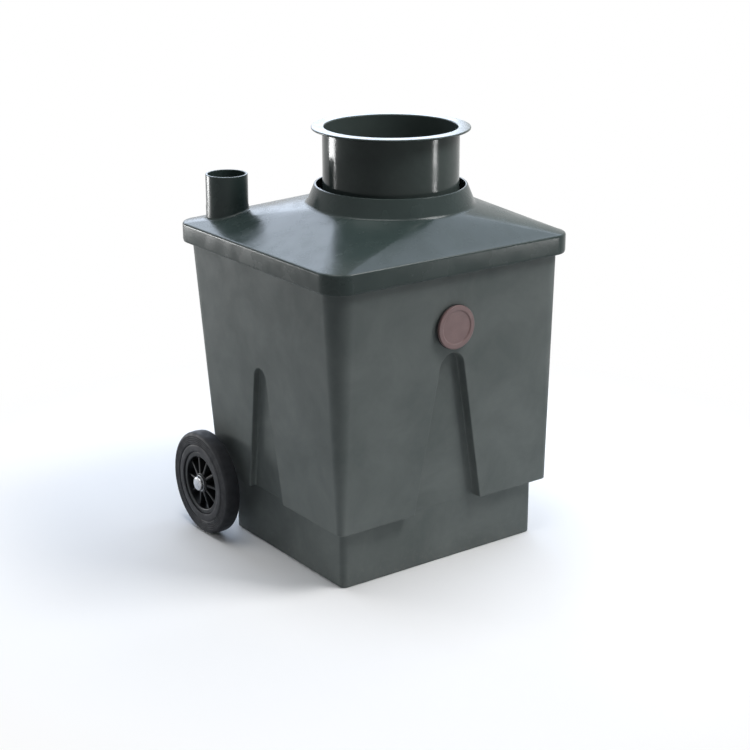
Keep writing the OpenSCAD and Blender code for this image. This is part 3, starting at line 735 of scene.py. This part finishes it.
# %% Lid: vent stub
STUB, STUB_R, STUB_BORE, STUB_TOP = Vector((-196.0, 187.0, 0)), 39.25, 34.85, 684.0
FOOT_R, FOOT_TOP, FOOT_FILLET, FOOT_STEP = 39.85, 625.0, 5.0, 1.2
STUB_LOW, BORE_LOW, STUB_ROUND = 590, 600, 1.4
FILLET_STEPS, FILLET_SUNK, FILLET_DROP, ABOVE_LID = 5, 0.2, 0.1, 800
FILLET_DEPTH, BORE_FROM, BORE_TO = 9, 500, 610

stub = turned("stub", [(0, STUB_LOW), (FOOT_R, STUB_LOW), (FOOT_R, FOOT_TOP), (STUB_R, FOOT_TOP + FOOT_STEP),
                       (STUB_R, STUB_TOP), (STUB_BORE, STUB_TOP), (STUB_BORE, BORE_LOW), (0, BORE_LOW)],
              STUB, (0, 0, 1), rounds={STUB_ROUND: [4, 5]})
roof = BVHTree.FromObject(lid, bpy.context.evaluated_depsgraph_get())
bm = bmesh.new()
loops = []
for step in range(FILLET_STEPS + 1):
    turn = step * pi / 2 / FILLET_STEPS
    out = FOOT_R + FOOT_FILLET * (1 - cos(turn)) - FILLET_SUNK
    made = bmesh.ops.create_circle(bm, segments=72, radius=out, matrix=Matrix.Translation(STUB))["verts"]
    for v in made:
        hit = roof.ray_cast(Vector((v.co.x, v.co.y, ABOVE_LID)), Vector((0, 0, -1)))[0]
        v.co.z = hit.z + FOOT_FILLET * (1 - sin(turn)) - FILLET_DROP
    loops.append(list({e for v in made for e in v.link_edges}))
bridged(bm, loops)
inner = bmesh.ops.extrude_edge_only(bm, edges=loops[0])["geom"]
inner_points = [v for v in inner if isinstance(v, bmesh.types.BMVert)]
bmesh.ops.translate(bm, vec=(0, 0, -FILLET_DEPTH), verts=inner_points)
bmesh.ops.bridge_loops(bm, edges=[e for e in inner if isinstance(e, bmesh.types.BMEdge)] + loops[-1])
fillet = as_object(bm, "stub_fillet")
carve(lid, stub, "UNION")
carve(lid, fillet, "UNION")
bm = bmesh.new()
rod(bm, STUB_BORE, STUB + Vector((0, 0, BORE_FROM)), STUB + Vector((0, 0, BORE_TO)), steps=96)
carve(lid, as_object(bm, "stub_bore"))
piece(lid, "lid", "lid_plastic", lid_green, "lid", crease=34)

# %% [markdown]
# ## Neck tube, seals and plug
#
# These are all turned shapes. The tube's flange carries the seat's own chute on the
# real object, and the tube slides in the collar to suit the floor above. The plug is
# a cap that presses into a rubber grommet.

# %% Neck tube and its seal
neck_low, neck_high = (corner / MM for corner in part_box("neck_tube"))
NECK_LENGTH, FLANGE_R = neck_high.z - neck_low.z, (neck_high.x - neck_low.x) / 2
NECK_R, NECK_BORE, FLANGE_T = 125.0, 121.5, 4
SEAL_BORE, SEAL_R, SEAL_H = 125.06, 147.2, 8
LID_SEAL_ROUND = 1.3

neck = turned("neck_tube_turned",
              [(NECK_BORE, -NECK_LENGTH), (NECK_R, -NECK_LENGTH), (NECK_R, -FLANGE_T),
               (FLANGE_R, -FLANGE_T), (FLANGE_R, 0), (NECK_BORE, 0)],
              NECK + Vector((0, 0, neck_high.z)), (0, 0, 1),
              rounds={1.0: [0, 1], 3.0: [2], 1.7: [3, 4], 2.4: [5]}, steps=128)
piece(neck, "neck", "neck_plastic", neck_green, "neck_tube")

seal = turned("neck_seal_ring", [(SEAL_BORE, 0), (SEAL_R, 0), (SEAL_R, SEAL_H), (SEAL_BORE, SEAL_H)],
              NECK + Vector((0, 0, COLLAR_Z)), (0, 0, 1), rounds={1.2: [1, 2], 2.5: [3]})
piece(seal, "lid", "seal_rubber", seal_rubber, "neck_seal")

lid_seal = from_cad("lid_seal_strip", "lid_seal", radius=LID_SEAL_ROUND)
piece(lid_seal, "lid", "seal_rubber", seal_rubber, "lid_seal")

# %% Plug and grommet
PLUG_AT, OUTWARDS = (0, -PAD_Y, PLUG_Z), (0, -1, 0)
CAP_R, CAP_BACK, CAP_FRONT, DISC_R, DISC_RIM_R, DISC_FRONT = 40, 3, 8, 29.6, 31.5, 6.4
SPIGOT_BORE, SPIGOT_R, SPIGOT_END = 28.7, 31.7, -10
SLEEVE_BORE, SLEEVE_R, COLLAR_R, BARB_R, BARB_FROM, SLEEVE_END = 31.75, 34.95, 40.8, 37.9, -8.5, -11.5

plug = turned("plug_cap_turned",
              [(0, CAP_BACK), (SPIGOT_BORE, CAP_BACK), (SPIGOT_BORE, SPIGOT_END), (SPIGOT_R, SPIGOT_END),
               (SPIGOT_R, CAP_BACK), (CAP_R, CAP_BACK), (CAP_R, CAP_FRONT), (DISC_RIM_R, CAP_FRONT),
               (DISC_R, DISC_FRONT), (0, DISC_FRONT)],
              PLUG_AT, OUTWARDS, rounds={0.8: [5, 8], 1.9: [6], 1.2: [7]})
piece(plug, "plug", "plug_plastic", plug_rose, "plug_cap")

grommet = turned("plug_grommet_turned",
                 [(SLEEVE_BORE, CAP_BACK), (COLLAR_R, CAP_BACK), (COLLAR_R, 0), (SLEEVE_R, 0),
                  (SLEEVE_R, BARB_FROM), (BARB_R, BARB_FROM), (SLEEVE_R, SLEEVE_END),
                  (SLEEVE_BORE, SLEEVE_END)],
                 PLUG_AT, OUTWARDS, rounds={1.1: [1], 0.6: [5, 6]})
piece(grommet, "container", "seal_rubber", seal_rubber, "plug_grommet")

# %% [markdown]
# ## Wheels and axle
#
# Each wheel has a solid rubber tyre on a spoked rim. The tyre is turned from a
# section whose sides carry fine ribs and one deeper groove, worked out by a formula.
# The rim is turned as a channel and joined with ten rounded spokes and a hub.

# %% Tyre
TYRE_R, TYRE_HALF, SHOULDER, RIM_LIP_R, SEAT_R = 100.0, 15.6, 7.0, 61.0, 55.5
BAND_FROM, BAND_TO = 61.4, 75.2
GROOVE_R, GROOVE_DEPTH, GROOVE_HALF = 76.4, 2.0, 1.5
RIB_FROM, RIB_TO, RIB_PITCH, RIB_DEPTH, RIB_HALF = 78.0, 92.4, 3.6, 1.2, 0.9
SIDE_STEP, SIDE_STEPS, SEAT_HALF, LIP_GAP, CROWN, LIP_BEVEL = 0.45, 69, 9.9, 0.4, 1, 1.4


def side_dip(r):
    """How deep the tyre's side lies at radius r, below its flat face."""
    off = abs((r - RIB_FROM) / RIB_PITCH % 1 - 0.5) * RIB_PITCH
    ribs = RIB_DEPTH * max(0.0, 1 - off / RIB_HALF) if RIB_FROM < r < RIB_TO else 0
    groove = max(0.0, GROOVE_DEPTH * (1 - abs(r - GROOVE_R) / GROOVE_HALF))
    across = (2 * r - BAND_FROM - BAND_TO) / (BAND_TO - BAND_FROM)
    band = across ** 4 if r < BAND_TO else 0
    return max(ribs, groove, band)


def tyre(name, middle, outwards):
    """A tyre about the axle's line, with its outer side towards outwards."""
    lip_r = RIM_LIP_R + LIP_GAP
    radii = [lip_r + SIDE_STEP * i for i in range(SIDE_STEPS)]
    outer_side = [(r, TYRE_HALF - side_dip(r)) for r in radii]
    inner_side = [(r, -along) for r, along in reversed(outer_side)]
    seat = [(SEAT_R, -SEAT_HALF), (SEAT_R, SEAT_HALF), (lip_r, SEAT_HALF)]
    tread = [(TYRE_R - CROWN, TYRE_HALF), (TYRE_R, 0), (TYRE_R - CROWN, -TYRE_HALF)]
    outline = seat + outer_side + tread + inner_side + [(lip_r, -SEAT_HALF)]
    shoulders = [len(seat) + len(radii), len(seat) + len(radii) + 2]
    lips = [len(seat), len(outline) - 2]
    return turned(name, outline, middle, outwards,
                  rounds={SHOULDER - 0.5: shoulders, LIP_BEVEL: lips}, steps=128)


# %% Rim
SPOKES, SPOKE_T, SPOKE_W, HUB_R, BUSH_R, RIM_INNER_R = 10, 4.4, 13.6, 19.0, 13.0, 52.0
RIM_HALF, RIM_FLANGE, HUB_HALF, SPOKE_SUNK, SPOKE_ROUND = 12.9, 3.0, 13.3, 1.5, 1.5
HUB_END = (1, 1.25, 1.75)


def rim(name, middle, outwards):
    """A channel, a hub and the spokes between them, joined into one solid."""
    half, inner = RIM_HALF, RIM_HALF - RIM_FLANGE
    channel = turned(name, [(RIM_INNER_R, -half), (RIM_LIP_R, -half), (RIM_LIP_R, -inner),
                            (SEAT_R, -inner), (SEAT_R, inner), (RIM_LIP_R, inner),
                            (RIM_LIP_R, half), (RIM_INNER_R, half)],
                     (0, 0, 0), (0, 0, 1), rounds={1.3: [1, 6], 1.8: [0, 7]})
    hub = turned("hub", [(BUSH_R, -HUB_HALF), (HUB_R, -HUB_HALF), (HUB_R, HUB_HALF), (BUSH_R, HUB_HALF)],
                 (0, 0, 0), (0, 0, 1), rounds={1.5: [1, 2]}, steps=64)
    bm = bmesh.new()
    start, end = (HUB_R + BUSH_R) / 2, RIM_INNER_R + SPOKE_SUNK
    bmesh.ops.create_cube(bm, size=1)
    bmesh.ops.scale(bm, vec=(end - start, SPOKE_T, SPOKE_W), verts=bm.verts)
    bmesh.ops.translate(bm, vec=((start + end) / 2, 0, 0), verts=bm.verts)
    bmesh.ops.scale(bm, vec=HUB_END, verts=[v for v in bm.verts if v.co.x < (start + end) / 2])
    soften(bm, SPOKE_ROUND, lambda e: abs(e.verts[0].co.x - e.verts[1].co.x) > 1)
    bmesh.ops.spin(bm, geom=bm.verts[:] + bm.edges[:] + bm.faces[:], cent=(0, 0, 0), axis=(0, 0, 1),
                   dvec=(0, 0, 0), angle=2 * pi * (SPOKES - 1) / SPOKES, steps=SPOKES - 1,
                   use_duplicate=True)
    spokes = as_object(bm, "spokes")
    carve(channel, spokes, "UNION")
    carve(channel, hub, "UNION")
    turn = Vector(outwards).to_track_quat("Z", "Y").to_matrix().to_4x4()
    channel.data.transform(Matrix.Translation(middle) @ turn)
    return channel


# %% Both wheels, with their caps, washers and bushes
# Radius and distance from the hub, from the cap's open end round to the inside of its dome
CAP_OUTLINE = [(10.05, 0), (14, 0), (13.2, 6.8), (0, 9), (0, 6), (10.05, 6)]

for side, sign in (("left", -1), ("right", 1)):
    low, high = (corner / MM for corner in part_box("tyre_" + side))
    middle, outwards = (low + high) / 2, (sign, 0, 0)
    body = "wheel_" + side
    piece(tyre(f"tyre_{side}_turned", middle, outwards), body, "tyre_rubber", tyre_rubber, "tyre_" + side)
    piece(rim(f"rim_{side}_spoked", middle, outwards), body, "rim_plastic", rim_black, "wheel_rim_" + side)
    piece(from_cad(f"bush_{side}_soft", "hub_bush_" + side, radius=0.3), body, "bush_nylon", bush_black,
          "hub_bush_" + side)

    low, high = (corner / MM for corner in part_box("axle_cap_" + side))
    cap_at = Vector((low.x if sign > 0 else high.x, middle.y, middle.z))
    cap = turned(f"axle_cap_{side}_domed", CAP_OUTLINE, cap_at, outwards, rounds={2.6: [2], 0.5: [1]},
                 steps=64)
    piece(cap, "container", "cap_chrome", cap_chrome, "axle_cap_" + side)
    piece(from_cad(f"washer_{side}_soft", "washer_" + side, radius=0.3), "container", "zinc_steel",
          zinc_steel, "washer_" + side)
    piece(from_cad(f"spacer_{side}_soft", "axle_spacer_" + side, radius=0.4), "container", "black_plastic",
          black_plastic, "axle_spacer_" + side)
    piece(from_cad(f"clamp_{side}_soft", "axle_clamp_" + side, radius=1.4), "container", "black_plastic",
          black_plastic, "axle_clamp_" + side)

# %% Axle, screws and strainer
low, high = (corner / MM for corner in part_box("axle"))
axle_half, axle_r = (high.x - low.x) / 2, (high.z - low.z) / 2
axle = turned("axle_turned", [(0, -axle_half), (axle_r, -axle_half), (axle_r, axle_half), (0, axle_half)],
              (0, (low.y + high.y) / 2, (low.z + high.z) / 2), (1, 0, 0), rounds={1.0: [1, 2]}, steps=64)
piece(axle, "container", "axle_steel", axle_steel, "axle")
piece(from_cad("clamp_screws_soft", "clamp_screws", radius=0.4), "container", "zinc_steel", zinc_steel,
      "clamp_screws")
piece(from_cad("strainer_plate_soft", "strainer_plate", radius=0.7), "strainer", "black_plastic",
      black_plastic, "strainer_plate")
piece(from_cad("strainer_pillars_soft", "strainer_pillars", radius=0.5), "strainer", "black_plastic",
      black_plastic, "strainer_pillars")
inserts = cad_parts["screw_inserts"]
inserts.data.materials.clear()
inserts.data.materials.append(insert_brass)

# %% [markdown]
# ## Last steps
#
# The colours are shown plainly, without a film curve.

# %% View
bpy.context.scene.view_settings.view_transform = "Standard"
